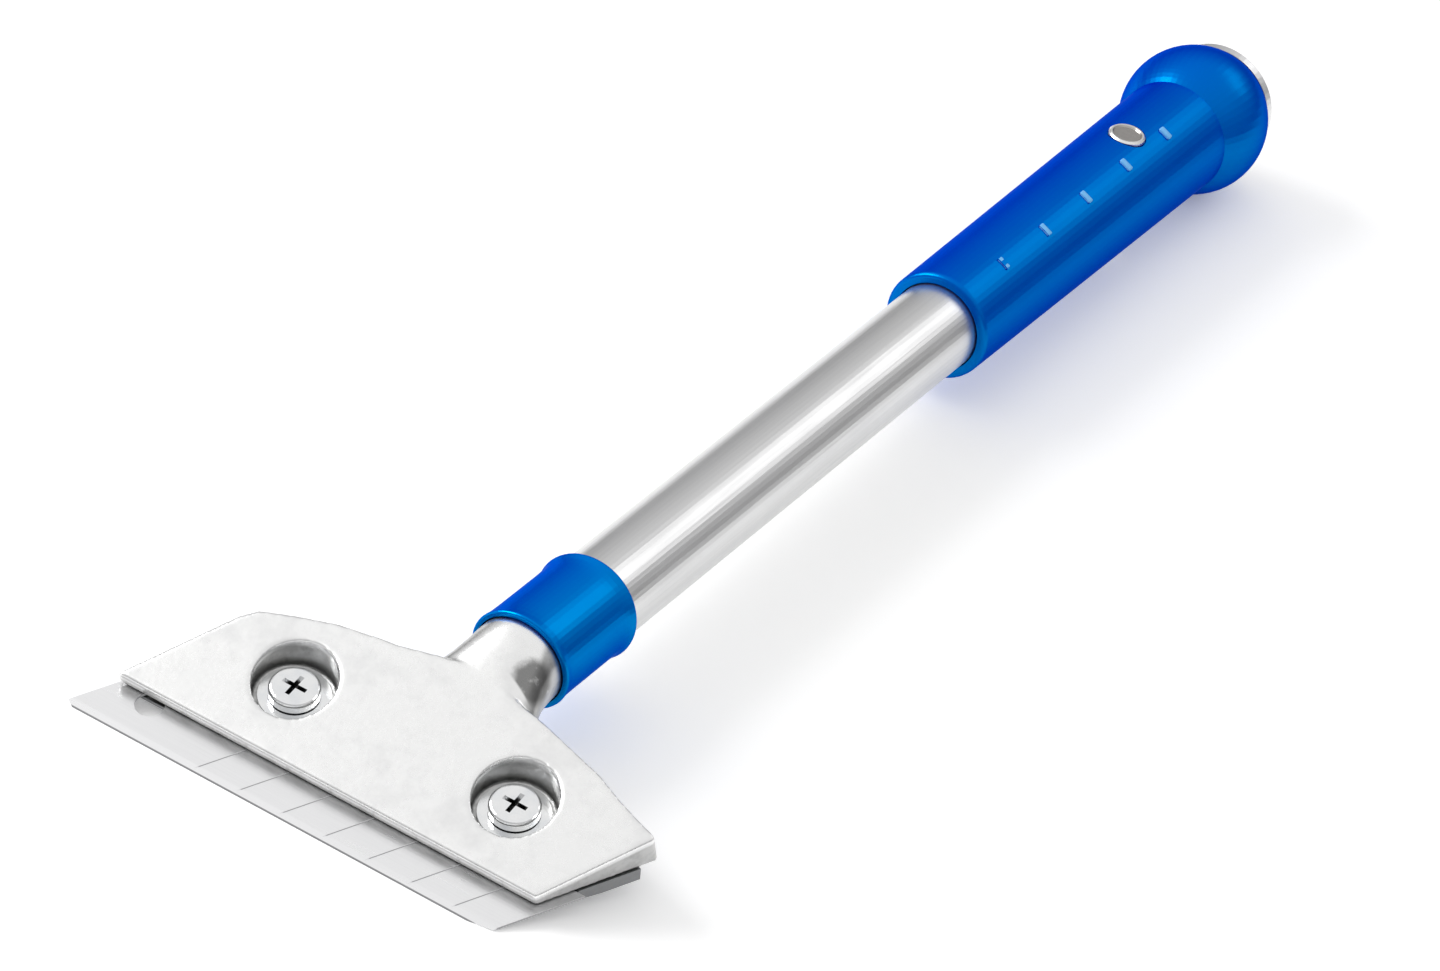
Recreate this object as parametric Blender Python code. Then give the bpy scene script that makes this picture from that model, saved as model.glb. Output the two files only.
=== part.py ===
"""Hand scraper: a cast head that clamps a snap-off blade, on a tube with a grip and a hammer cap.

Sizes are metres. The tool lies as it is put down: the handle runs back along +Y, and the blade's
edge and the grip's ball touch the ground. +X runs along the blade, and +Z is up.
"""
import math

import bmesh
import bpy

# Fits shared by all pieces
GAP = 0.0003
OVERRUN = 0.002
MERGE = 0.000001

# Handle tube
TUBE_RADIUS = 0.00995
TUBE_WALL = 0.0015
TUBE_BARE = 0.1684
TUBE_EDGE = 0.0003

# Grip with its ball end
GRIP_FRONT_RADIUS = 0.0124
GRIP_BACK_RADIUS = 0.0134
GRIP_LENGTH = 0.1235
GRIP_LIP = 0.0011
BALL_RADIUS = 0.0172
MARK_COUNT = 5
MARK_FIRST = 0.0169
MARK_PITCH = 0.0190
MARK_LENGTH = 0.0017
MARK_BREADTH = 0.0031
MARK_PROUD = 0.0003
MARK_TURN = math.radians(24)

# Hammer cap
CAP_SHARE = 0.8
CAP_FLANGE = 0.0022
CAP_DOME = 0.0013
CAP_FLAT_SHARE = 0.58
CAP_STEM_PAST_RIVET = 0.0098
CAP_STEM_EDGE = 0.001

# Rivet through grip, tube and cap stem
RIVET_BEFORE_BALL = 0.0396
RIVET_RADIUS = 0.0025
RIVET_HEAD_RADIUS = 0.0042
RIVET_HEAD = 0.0011
RIVET_DISH = 0.0004
RIVET_PROUD = 0.0004

# Neck, collar and cross pin
NECK_LENGTH = 0.002
SPIGOT_LENGTH = 0.028
SPIGOT_EDGE = 0.001
COLLAR_START = -0.0002
COLLAR_LENGTH = 0.0261
COLLAR_LEAN = math.radians(8.7)
COLLAR_WAIST_WALL = 0.0008
COLLAR_FRONT_WALL = 0.0011
COLLAR_BACK_WALL = 0.0014
COLLAR_LIP_ROUND = 0.0006
PIN_PLACE = 0.014
PIN_RADIUS = 0.002
PIN_WALL = 0.0007
PIN_SLOT = 0.0009

# Head casting
HEAD_WIDTH = 0.0981
HEAD_BEND = math.radians(27.6)
HEAD_REACH = 0.04685
HEAD_SHIFT = 0.01383
HEAD_END_DEPTH = 0.0229
HEAD_SLANT = math.radians(60)
HEAD_RISE = 0.0095
HEAD_LIP = 0.0032
HEAD_SKIRT = 0.0118
HEAD_CORNER_LEFT = 0.003
HEAD_CORNER_RIGHT = 0.001
HEAD_FOOT = 0.0022
HEAD_EDGE = 0.0004
SHOULDER_END = 0.0098
SHOULDER_HALF = 0.003
SHOULDER_SHARES_RIGHT = ((0.893, 0.10), (0.762, 0.245), (0.621, 0.435), (0.497, 0.54), (0.374, 0.65),
                         (0.258, 0.745), (0.141, 0.82), (0.07, 0.888))
SHOULDER_SHARES_LEFT = ((0.937, 0.23), (0.855, 0.335), (0.774, 0.435), (0.69, 0.523), (0.607, 0.61),
                        (0.512, 0.66), (0.424, 0.715), (0.33, 0.755), (0.244, 0.83), (0.161, 0.90))
THROAT_REACH = 0.019
THROAT_HALF = 0.0175
THROAT_SINK = 0.0003
THROAT_BOX_SHARE = 0.42
THROAT_CREST = 0.0045

# Blade, its seat under the head, and the clamp plate
SEAT_ANGLE = math.radians(13)
BLADE_LENGTH = 0.100
BLADE_WIDTH = 0.018
BLADE_THICKNESS = 0.0005
BLADE_SHOW = 0.01035
BLADE_GRIND = 0.0018
BLADE_TIP = 0.00006
BLADE_HOLE = 0.003
BLADE_HOLE_INSET = 0.0092
BLADE_CLIP_LEFT = (0.0023, 0.0011)
BLADE_CLIP_RIGHT = (0.0050, 0.0010)
SCORE_COUNT = 7
SCORE_PITCH = 0.010
SCORE_LAST = 0.0096
SCORE_WIDTH = 0.00036
SCORE_DEPTH = 0.00012
CLAMP_INSET = 0.0003
CLAMP_FRONT = 0.0008
CLAMP_BACK = 0.0023
CLAMP_TAPER = 0.012
CLAMP_END_DEPTH = 0.0196
CLAMP_DEPTH = 0.024
CLAMP_CORNER = 0.014
CLAMP_SLACK = 0.0012

# Clamp screws and washers
SCREW_SPACING = 0.0517
SCREW_SHIFT = 0.0060
SCREW_BACK = 0.0167
SCREW_RADIUS = 0.0024
SCREW_HEAD_RADIUS = 0.00525
SCREW_HEAD = 0.0024
SCREW_ROUND = 0.0009
SCREW_PROUD = 0.0004
CROSS_REACH = 0.0027
CROSS_WIDTH = 0.0010
CROSS_DEPTH = 0.0016
CROSS_TAPER_SHARE = 0.45
WASHER_RADIUS = 0.0073
WASHER_THICKNESS = 0.0009
POCKET_RADIUS = 0.0086
POCKET_FLOOR = 0.0010

# Smoothness of round shapes
ROUND_STEPS = 64
SMALL_STEPS = 40
SHARP = math.radians(35)

COLOURS = {
    "cast_metal": ((0.80, 0.80, 0.79), 0.36, 1.0),
    "blade_steel": ((0.76, 0.77, 0.78), 0.28, 1.0),
    "plate_steel": ((0.60, 0.61, 0.62), 0.35, 1.0),
    "screw_zinc": ((0.82, 0.82, 0.81), 0.20, 1.0),
    "blue_grip": ((0.004, 0.120, 0.560), 0.34, 0.0),
    "blue_collar": ((0.004, 0.130, 0.600), 0.30, 0.0),
    "tube_satin": ((0.74, 0.74, 0.73), 0.34, 1.0),
    "rivet_nickel": ((0.62, 0.60, 0.57), 0.25, 1.0),
    "cap_chrome": ((0.84, 0.84, 0.84), 0.12, 1.0),
    "pin_steel": ((0.35, 0.36, 0.37), 0.40, 1.0),
}


def clear_scene():
    for thing in list(bpy.data.objects):
        bpy.data.objects.remove(thing, do_unlink=True)


def surface(name, finish):
    colour, roughness, metallic = COLOURS[finish]
    material = bpy.data.materials.new(name + "_" + finish)
    material.use_nodes = True
    shader = material.node_tree.nodes["Principled BSDF"]
    shader.inputs["Base Color"].default_value = (*colour, 1)
    shader.inputs["Roughness"].default_value = roughness
    shader.inputs["Metallic"].default_value = metallic
    return material


def place(thing, parent):
    bpy.context.scene.collection.objects.link(thing)
    thing.parent = parent
    return thing


def guide(name, parent, location=(0, 0, 0), turn=(0, 0, 0)):
    """An empty that carries pieces on its own axes."""
    empty = bpy.data.objects.new(name, None)
    empty.location = location
    empty.rotation_euler = turn
    return place(empty, parent)


def finished(name, shape, parent, finish=None):
    """A closed mesh as an object; with no finish it is a cutter or a form to join."""
    bmesh.ops.remove_doubles(shape, verts=shape.verts, dist=MERGE)
    bmesh.ops.dissolve_degenerate(shape, edges=shape.edges, dist=MERGE)
    bmesh.ops.recalc_face_normals(shape, faces=shape.faces)
    mesh = bpy.data.meshes.new(name)
    shape.to_mesh(mesh)
    shape.free()
    mesh.shade_smooth()
    mesh.set_sharp_from_angle(angle=SHARP)
    thing = place(bpy.data.objects.new(name, mesh), parent)
    if finish:
        mesh.materials.append(surface(name, finish))
    else:
        thing.hide_render = True
        thing.display_type = "WIRE"
    return thing


def combine(thing, other, operation):
    step = thing.modifiers.new(other.name, "BOOLEAN")
    step.operation = operation
    step.solver = "EXACT"
    step.object = other


def turned(name, profile, parent, finish=None, steps=ROUND_STEPS, where=(0, 0, 0)):
    """A profile of (along, radius) points turned about Z."""
    shape = bmesh.new()
    line = [shape.verts.new((radius, 0, along)) for along, radius in profile]
    edges = []
    for start, end in zip(line, line[1:] + line[:1]):
        if start.co.x > 0 or end.co.x > 0:
            edges.append(shape.edges.new((start, end)))
    bmesh.ops.spin(shape, geom=line + edges, cent=(0, 0, 0), axis=(0, 0, 1),
                   angle=math.tau, steps=steps, use_merge=True)
    bmesh.ops.translate(shape, verts=shape.verts, vec=where)
    return finished(name, shape, parent, finish)


def prism(name, outline, low, high, parent, finish=None, axis="Z"):
    """An outline raised from low to high: (x, y) along Z, or (y, z) along X."""
    shape = bmesh.new()
    rings = []
    for level in (low, high):
        if axis == "Z":
            ring = [shape.verts.new((across, along, level)) for across, along in outline]
        else:
            ring = [shape.verts.new((level, across, along)) for across, along in outline]
        rings.append(ring)
    shape.faces.new(rings[0])
    shape.faces.new(rings[1])
    join_rings(shape, rings[0], rings[1])
    return finished(name, shape, parent, finish)


def join_rings(shape, first, second):
    count = len(first)
    for index in range(count):
        after = (index + 1) % count
        shape.faces.new((first[index], first[after], second[after], second[index]))


def lofted(name, rings, parent, finish=None):
    """A skin over rings of points, closed at both ends."""
    shape = bmesh.new()
    made = [[shape.verts.new(point) for point in ring] for ring in rings]
    for first, second in zip(made, made[1:]):
        join_rings(shape, first, second)
    shape.faces.new(made[0])
    shape.faces.new(made[-1])
    return finished(name, shape, parent, finish)


def rounded(points, radii, steps=6):
    """The outline with each corner replaced by an arc of its own radius."""
    result = []
    count = len(points)
    for index, (x, y) in enumerate(points):
        radius = radii[index]
        if radius == 0:
            result.append((x, y))
            continue
        before = points[index - 1]
        after = points[(index + 1) % count]
        back = math.atan2(before[1] - y, before[0] - x)
        ahead = math.atan2(after[1] - y, after[0] - x)
        half = ((ahead - back + math.pi) % math.tau - math.pi) / 2
        far = radius / abs(math.sin(half))
        middle = back + half
        centre = (x + far * math.cos(middle), y + far * math.sin(middle))
        sweep = math.copysign(math.pi / 2 - abs(half), half)
        for step in range(steps + 1):
            angle = middle + math.pi + sweep * (1 - 2 * step / steps)
            result.append((centre[0] + radius * math.cos(angle), centre[1] + radius * math.sin(angle)))
    return result


def arc(centre_along, centre_radius, radius, start, end, steps):
    """Points of a profile arc, angles measured from the +along direction."""
    points = []
    for step in range(steps + 1):
        angle = start + (end - start) * step / steps
        points.append((centre_along + radius * math.cos(angle), centre_radius + radius * math.sin(angle)))
    return points


# Places along the handle, from the bend where head and handle meet
tube_start = NECK_LENGTH + GAP
grip_start = tube_start + TUBE_BARE
ball_centre = grip_start + GRIP_LENGTH
cap_radius = BALL_RADIUS * CAP_SHARE
cap_seat = ball_centre + math.sqrt(BALL_RADIUS ** 2 - cap_radius ** 2)
cap_end = cap_seat + GAP + CAP_FLANGE + CAP_DOME
tube_end = cap_seat - GAP
rivet_place = ball_centre - RIVET_BEFORE_BALL
tube_bore = TUBE_RADIUS - TUBE_WALL
inner_radius = tube_bore - GAP
slope = 1 / math.tan(HEAD_SLANT)

# The head's own axes: Y runs back along the sole face, Z out of it, from the bend
seat_height = HEAD_RISE - HEAD_LIP
blade_middle = -GAP - BLADE_THICKNESS / 2
edge_level = blade_middle - BLADE_TIP
edge_along = -HEAD_REACH - BLADE_SHOW * math.cos(SEAT_ANGLE) + edge_level * math.sin(SEAT_ANGLE)
edge_height = seat_height + BLADE_SHOW * math.sin(SEAT_ANGLE) + edge_level * math.cos(SEAT_ANGLE)

# The blade's edge on the handle's axes, and the lie at which it and the ball reach the ground together
edge_y = edge_along * math.cos(HEAD_BEND) - edge_height * math.sin(HEAD_BEND)
edge_z = edge_along * math.sin(HEAD_BEND) + edge_height * math.cos(HEAD_BEND)
edge_to_ball = ball_centre - edge_y
lie = math.asin(BALL_RADIUS / math.hypot(edge_to_ball, edge_z)) - math.atan2(-edge_z, edge_to_ball)


def inset(points, depth):
    """The outline drawn in by a depth all round."""
    result = []
    count = len(points)
    for index, (x, y) in enumerate(points):
        before = points[index - 1]
        after = points[(index + 1) % count]
        first = math.atan2(y - before[1], x - before[0])
        second = math.atan2(after[1] - y, after[0] - x)
        half = ((second - first + math.pi) % math.tau - math.pi) / 2
        inward = first + half + math.pi / 2
        reach = depth / math.cos(half)
        result.append((x + reach * math.cos(inward), y + reach * math.sin(inward)))
    return result


def head_outline(depth=0):
    """The sole face from the left front corner round to the left end, drawn in by a depth."""
    left = -HEAD_SHIFT - HEAD_WIDTH / 2
    right = -HEAD_SHIFT + HEAD_WIDTH / 2
    back = HEAD_END_DEPTH - HEAD_REACH
    lean = HEAD_END_DEPTH * slope
    corners = [(left, -HEAD_REACH), (right, -HEAD_REACH), (right + lean, back)]
    radii = [0, 0, HEAD_CORNER_RIGHT]
    rise = -SHOULDER_END - back
    for across, along in SHOULDER_SHARES_RIGHT:
        corners.append((SHOULDER_HALF + across * (right + lean - SHOULDER_HALF), back + along * rise))
    corners += [(SHOULDER_HALF, -SHOULDER_END), (-SHOULDER_HALF, -SHOULDER_END)]
    for across, along in reversed(SHOULDER_SHARES_LEFT):
        corners.append((-SHOULDER_HALF + across * (left + lean + SHOULDER_HALF), back + along * rise))
    corners.append((left + lean, back))
    radii += [0] * (len(corners) - len(radii) - 1) + [HEAD_CORNER_LEFT]
    radii = [radius and max(radius - depth, HEAD_EDGE) for radius in radii]
    return rounded(inset(corners, depth), radii)


def blade_outline():
    """The blade in plan on its seat: x along the edge, y back from the head's front."""
    left = -HEAD_SHIFT - HEAD_WIDTH / 2 - BLADE_SHOW * slope
    right = left + BLADE_LENGTH
    front = -BLADE_SHOW
    lean = BLADE_WIDTH * slope
    left_back, left_up = BLADE_CLIP_LEFT
    right_back, right_up = BLADE_CLIP_RIGHT
    return [(left + left_up * slope, front + left_up), (left + left_back, front),
            (right - right_back, front), (right + right_up * slope, front + right_up),
            (right + lean, front + BLADE_WIDTH), (left + lean, front + BLADE_WIDTH)]


def clamp_outline(grow=0, reach=0):
    """The clamp plate in plan; grow widens its back edge, reach extends its front and ends."""
    left = -HEAD_SHIFT - HEAD_WIDTH / 2 - reach
    right = -HEAD_SHIFT + HEAD_WIDTH / 2 + reach
    front = CLAMP_INSET - reach
    shoulder = CLAMP_END_DEPTH + grow
    back = CLAMP_DEPTH + grow
    return [(left + front * slope, front), (right + front * slope, front),
            (right + shoulder * slope, shoulder), (right + shoulder * slope - CLAMP_CORNER - reach, back),
            (left + shoulder * slope + CLAMP_CORNER + reach, back), (left + shoulder * slope, shoulder)]


def sole_to_seat(along, height):
    """A place on the head's axes as (back from the front edge, above the seat) on the seat's axes."""
    step_back = along + HEAD_REACH
    step_up = height - seat_height
    return (step_back * math.cos(SEAT_ANGLE) - step_up * math.sin(SEAT_ANGLE),
            step_back * math.sin(SEAT_ANGLE) + step_up * math.cos(SEAT_ANGLE))


screw_back = sole_to_seat(SCREW_BACK - HEAD_REACH, HEAD_RISE)[0]
washer_base = POCKET_FLOOR + GAP
screw_base = washer_base + WASHER_THICKNESS + GAP
clamp_top = -GAP
recess_floor = clamp_top - BLADE_THICKNESS - GAP
blade_back = BLADE_WIDTH - BLADE_SHOW
SCREW_PLACES = {
    "left": (-SCREW_SHIFT - SCREW_SPACING / 2, screw_back),
    "right": (-SCREW_SHIFT + SCREW_SPACING / 2, screw_back),
}


def curve_point(share, start, start_pull, end_pull, end):
    """A point of a smooth curve drawn from start to end through two pulls."""
    rest = 1 - share
    weights = (rest ** 3, 3 * rest ** 2 * share, 3 * rest * share ** 2, share ** 3)
    stops = (start, start_pull, end_pull, end)
    return [sum(weight * stop[axis] for weight, stop in zip(weights, stops)) for axis in (0, 1)]


def neck_ring(top, bottom, half_width, squareness):
    """A ring of the neck between a top and a bottom place, from boxy to round."""
    ring = []
    for step in range(ROUND_STEPS):
        angle = math.tau * step / ROUND_STEPS
        across = math.copysign(abs(math.cos(angle)) ** squareness, math.cos(angle))
        rise = math.copysign(abs(math.sin(angle)) ** squareness, math.sin(angle))
        blend = (1 + rise) / 2
        ring.append((half_width * across, bottom[0] + (top[0] - bottom[0]) * blend,
                     bottom[1] + (top[1] - bottom[1]) * blend))
    return ring


def handle_ring(along, radius):
    """A round ring square to the handle, on the head's axes."""
    middle = (along * math.cos(HEAD_BEND), -along * math.sin(HEAD_BEND))
    top = (middle[0] + radius * math.sin(HEAD_BEND), middle[1] + radius * math.cos(HEAD_BEND))
    bottom = (middle[0] - radius * math.sin(HEAD_BEND), middle[1] - radius * math.cos(HEAD_BEND))
    return top, bottom


def neck_rings():
    """The neck flows from the thick of the head to the handle, then steps down to the spigot."""
    rings = []
    end_top, end_bottom = handle_ring(0, TUBE_RADIUS)
    start = -THROAT_REACH
    high = HEAD_RISE - THROAT_SINK
    low = HEAD_RISE - HEAD_SKIRT + THROAT_SINK
    pull = THROAT_REACH / 3
    back = (THROAT_CREST * math.cos(HEAD_BEND), -THROAT_CREST * math.sin(HEAD_BEND))
    steps = 16
    for step in range(steps + 1):
        share = step / steps
        top = curve_point(share, (start, high), (start + pull, high),
                          (end_top[0] - back[0], end_top[1] - back[1]), end_top)
        bottom = curve_point(share, (start, low), (start + pull, low),
                             (end_bottom[0] - back[0], end_bottom[1] - back[1]), end_bottom)
        ease = (1 - share) ** 3
        half_width = TUBE_RADIUS + (THROAT_HALF - TUBE_RADIUS) * ease
        squareness = THROAT_BOX_SHARE + (1 - THROAT_BOX_SHARE) * math.sqrt(share)
        rings.append(neck_ring(top, bottom, half_width, squareness))
    spigot_end = NECK_LENGTH + SPIGOT_LENGTH
    stations = [(NECK_LENGTH, TUBE_RADIUS), (NECK_LENGTH, inner_radius),
                (spigot_end - SPIGOT_EDGE, inner_radius), (spigot_end, inner_radius - SPIGOT_EDGE)]
    for along, radius in stations:
        top, bottom = handle_ring(along, radius)
        rings.append(neck_ring(top, bottom, radius, 1))
    return rings


def head_block(head):
    """The sole's outline as a block whose foot is rounded all round."""
    low = HEAD_RISE - HEAD_SKIRT
    rings = []
    steps = 4
    for step in range(steps + 1):
        angle = math.pi / 2 * step / steps
        ring = head_outline(HEAD_FOOT * (1 - math.sin(angle)))
        rings.append([(x, y, low + HEAD_FOOT * (1 - math.cos(angle))) for x, y in ring])
    rings.append([(x, y, HEAD_RISE) for x, y in head_outline()])
    return lofted("head_casting", rings, head, "cast_metal")


def build_head(head, seat, handle):
    casting = head_block(head)
    soften = casting.modifiers.new("edge", "BEVEL")
    soften.width = HEAD_EDGE
    soften.segments = 2
    soften.limit_method = "ANGLE"
    soften.angle_limit = math.radians(60)
    combine(casting, lofted("neck_form", neck_rings(), head), "UNION")
    under = prism("seat_cut", clamp_outline(CLAMP_SLACK, HEAD_REACH), -HEAD_REACH, 0, seat)
    combine(casting, under, "DIFFERENCE")
    for side, (x, y) in SCREW_PLACES.items():
        hole = SCREW_RADIUS + GAP
        profile = [(-OVERRUN, 0), (-OVERRUN, hole), (POCKET_FLOOR, hole), (POCKET_FLOOR, POCKET_RADIUS),
                   (HEAD_REACH, POCKET_RADIUS), (HEAD_REACH, 0)]
        combine(casting, turned("pocket_cut_" + side, profile, seat, where=(x, y, 0)), "DIFFERENCE")
    combine(casting, cross_pin_cut("spigot_pin_cut", PIN_RADIUS + GAP, handle), "DIFFERENCE")


def cross_pin_cut(name, radius, handle):
    half = TUBE_RADIUS + OVERRUN
    across = guide(name + "_axis", handle, (0, 0, PIN_PLACE), (0, math.pi / 2, 0))
    return turned(name, [(-half, 0), (-half, radius), (half, radius), (half, 0)], across, steps=SMALL_STEPS)


def rivet_cut(name, radius, half, handle):
    across = guide(name + "_axis", handle, (0, 0, rivet_place), (math.pi / 2, 0, 0))
    return turned(name, [(-half, 0), (-half, radius), (half, radius), (half, 0)], across, steps=SMALL_STEPS)


def build_blade(seat):
    low = -GAP - BLADE_THICKNESS
    blade = prism("snap_blade", blade_outline(), low, -GAP, seat, "blade_steel")
    half = BLADE_THICKNESS / 2
    fall = (half - BLADE_TIP) / BLADE_GRIND
    reach = BLADE_LENGTH + HEAD_WIDTH
    for name, sign in (("grind_top", 1), ("grind_under", -1)):
        near = blade_middle + sign * (BLADE_TIP - fall * OVERRUN)
        far = blade_middle + sign * (half + fall * OVERRUN)
        facet = [(-BLADE_SHOW - OVERRUN, near), (-BLADE_SHOW + BLADE_GRIND + OVERRUN, far),
                 (-BLADE_SHOW - OVERRUN, far)]
        combine(blade, prism(name, facet, -reach, reach, seat, axis="X"), "DIFFERENCE")
    outline = blade_outline()
    tail = outline[5][0] - BLADE_WIDTH / 2 * slope
    middle = BLADE_WIDTH / 2 - BLADE_SHOW
    hole = turned("tail_hole_cut", [(low - OVERRUN, 0), (low - OVERRUN, BLADE_HOLE),
                                    (OVERRUN, BLADE_HOLE), (OVERRUN, 0)],
                  seat, steps=SMALL_STEPS, where=(tail + BLADE_HOLE_INSET, middle, 0))
    combine(blade, hole, "DIFFERENCE")
    combine(blade, score_cuts(seat), "DIFFERENCE")


def score_cuts(seat):
    """V grooves across the blade's upper face, along its slant."""
    shape = bmesh.new()
    right = blade_outline()[2][0] + BLADE_CLIP_RIGHT[0]
    front = -BLADE_SHOW - OVERRUN
    back = blade_back + OVERRUN
    above = SCORE_DEPTH
    for index in range(SCORE_COUNT):
        foot = right - SCORE_LAST - index * SCORE_PITCH
        rings = []
        for along in (front, back):
            middle = foot + (along + BLADE_SHOW) * slope
            rings.append([shape.verts.new((middle, along, -GAP - SCORE_DEPTH)),
                          shape.verts.new((middle + SCORE_WIDTH, along, -GAP + above)),
                          shape.verts.new((middle - SCORE_WIDTH, along, -GAP + above))])
        shape.faces.new(rings[0])
        shape.faces.new(rings[1])
        join_rings(shape, rings[0], rings[1])
    return finished("score_cut", shape, seat)


def build_clamp(seat):
    """The plate has a shallow step that the blade's back rests on, and a thinned front."""
    base = recess_floor - CLAMP_BACK
    plate = prism("clamp_plate", clamp_outline(), base, clamp_top, seat, "plate_steel")
    reach = BLADE_LENGTH + HEAD_WIDTH
    step = blade_back + GAP
    recess = [(-OVERRUN, recess_floor), (step, recess_floor), (step, OVERRUN), (-OVERRUN, OVERRUN)]
    combine(plate, prism("recess_cut", recess, -reach, reach, seat, axis="X"), "DIFFERENCE")
    fall = (CLAMP_BACK - CLAMP_FRONT) / CLAMP_TAPER
    taper = [(CLAMP_INSET - OVERRUN, recess_floor - CLAMP_FRONT + fall * OVERRUN),
             (CLAMP_INSET - OVERRUN, base - OVERRUN),
             (CLAMP_INSET + CLAMP_TAPER + OVERRUN, base - fall * OVERRUN - OVERRUN),
             (CLAMP_INSET + CLAMP_TAPER + OVERRUN, base - fall * OVERRUN)]
    combine(plate, prism("taper_cut", taper, -reach, reach, seat, axis="X"), "DIFFERENCE")
    for side, (x, y) in SCREW_PLACES.items():
        hole = turned("tapped_cut_" + side, [(base - OVERRUN, 0), (base - OVERRUN, SCREW_RADIUS + GAP),
                                             (OVERRUN, SCREW_RADIUS + GAP), (OVERRUN, 0)],
                      seat, steps=SMALL_STEPS, where=(x, y, 0))
        combine(plate, hole, "DIFFERENCE")


def build_screws(seat):
    tip = recess_floor - CLAMP_BACK - SCREW_PROUD
    for side, (x, y) in SCREW_PLACES.items():
        axis = guide("screw_axis_" + side, seat, (x, y, 0))
        top = screw_base + SCREW_HEAD
        profile = [(tip, 0), (tip, SCREW_RADIUS - SCREW_PROUD), (tip + SCREW_PROUD, SCREW_RADIUS),
                   (screw_base, SCREW_RADIUS), (screw_base, SCREW_HEAD_RADIUS)]
        crown = arc(top - SCREW_ROUND, SCREW_HEAD_RADIUS - SCREW_ROUND, SCREW_ROUND, math.pi / 2, 0, 5)
        profile += crown + [(top, 0)]
        screw = turned("clamp_screw_" + side, profile, axis, "screw_zinc", steps=SMALL_STEPS)
        combine(screw, cross_recess("cross_cut_" + side, top, axis), "DIFFERENCE")
        washer = [(washer_base, SCREW_RADIUS + GAP), (washer_base, WASHER_RADIUS),
                  (washer_base + WASHER_THICKNESS, WASHER_RADIUS),
                  (washer_base + WASHER_THICKNESS, SCREW_RADIUS + GAP)]
        turned("screw_washer_" + side, washer, axis, "screw_zinc", steps=SMALL_STEPS)


def cross_recess(name, top, parent):
    """A tapered cross of four arms for the driver."""
    half = CROSS_WIDTH / 2
    corners = []
    for quarter in range(4):
        turn = quarter * math.pi / 2
        for across, along in ((half, half), (CROSS_REACH, half), (CROSS_REACH, -half)):
            corners.append((across * math.cos(turn) + along * math.sin(turn),
                            across * math.sin(turn) - along * math.cos(turn)))
    floor = top - CROSS_DEPTH
    high = top + CROSS_DEPTH
    wide = 2 - CROSS_TAPER_SHARE
    rings = [[(x * CROSS_TAPER_SHARE, y * CROSS_TAPER_SHARE, floor) for x, y in corners],
             [(x * wide, y * wide, high) for x, y in corners]]
    return lofted(name, rings, parent)


def build_tube(handle):
    profile = [(tube_start, tube_bore), (tube_start, TUBE_RADIUS - TUBE_EDGE),
               (tube_start + TUBE_EDGE, TUBE_RADIUS), (tube_end - TUBE_EDGE, TUBE_RADIUS),
               (tube_end, TUBE_RADIUS - TUBE_EDGE), (tube_end, tube_bore)]
    tube = turned("handle_tube", profile, handle, "tube_satin")
    combine(tube, cross_pin_cut("tube_pin_cut", PIN_RADIUS + GAP, handle), "DIFFERENCE")
    half = TUBE_RADIUS + OVERRUN
    combine(tube, rivet_cut("tube_rivet_cut", RIVET_RADIUS + GAP, half, handle), "DIFFERENCE")


def grip_radius(along):
    """The grip's straight taper, swollen into a ball round the ball's centre."""
    share = (along - grip_start) / GRIP_LENGTH
    taper = GRIP_FRONT_RADIUS + (GRIP_BACK_RADIUS - GRIP_FRONT_RADIUS) * min(share, 1)
    swell = math.sqrt(max(BALL_RADIUS ** 2 - (along - ball_centre) ** 2, 0))
    return max(taper, swell)


def build_grip(handle):
    bore = TUBE_RADIUS + GAP
    start = grip_start + GRIP_LIP
    meet = ball_centre - math.sqrt(max(BALL_RADIUS ** 2 - GRIP_BACK_RADIUS ** 2, 0))
    profile = [(grip_start, bore)]
    profile += arc(start, grip_radius(start) - GRIP_LIP, GRIP_LIP, math.pi, math.pi / 2, 5)
    profile.append((meet, grip_radius(meet)))
    steps = 20
    for step in range(1, steps + 1):
        along = meet + (cap_seat - meet) * step / steps
        profile.append((along, grip_radius(along)))
    profile.append((cap_seat, bore))
    grip = turned("handle_grip", profile, handle, "blue_grip")
    combine(grip, grip_marks(handle), "UNION")
    crown = grip_radius(rivet_place)
    seat = crown + RIVET_PROUD - RIVET_HEAD - GAP
    hole = RIVET_RADIUS + GAP
    pocket = RIVET_HEAD_RADIUS + GAP
    far = crown + OVERRUN
    across = guide("rivet_cut_axis", handle, (0, 0, rivet_place), (math.pi / 2, 0, 0))
    profile = [(-far, 0), (-far, pocket), (-seat, pocket), (-seat, hole),
               (seat, hole), (seat, pocket), (far, pocket), (far, 0)]
    combine(grip, turned("grip_rivet_cut", profile, across, steps=SMALL_STEPS), "DIFFERENCE")


def grip_marks(handle):
    """Small raised bars in one row along the grip."""
    shape = bmesh.new()
    for index in range(MARK_COUNT):
        along = grip_start + MARK_FIRST + index * MARK_PITCH
        radius = grip_radius(along)
        half = MARK_BREADTH / 2 / radius
        low = along - MARK_LENGTH / 2
        high = along + MARK_LENGTH / 2
        rings = []
        for turn in (-half, 0, half):
            angle = MARK_TURN + turn - math.pi / 2
            corners = ((radius - MARK_PROUD * 2, low), (radius + MARK_PROUD, low),
                       (radius + MARK_PROUD, high), (radius - MARK_PROUD * 2, high))
            rings.append([shape.verts.new((far * math.cos(angle), far * math.sin(angle), place_along))
                          for far, place_along in corners])
        for first, second in zip(rings, rings[1:]):
            join_rings(shape, first, second)
        shape.faces.new(rings[0])
        shape.faces.new(rings[-1])
    return finished("mark_forms", shape, handle)


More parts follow.
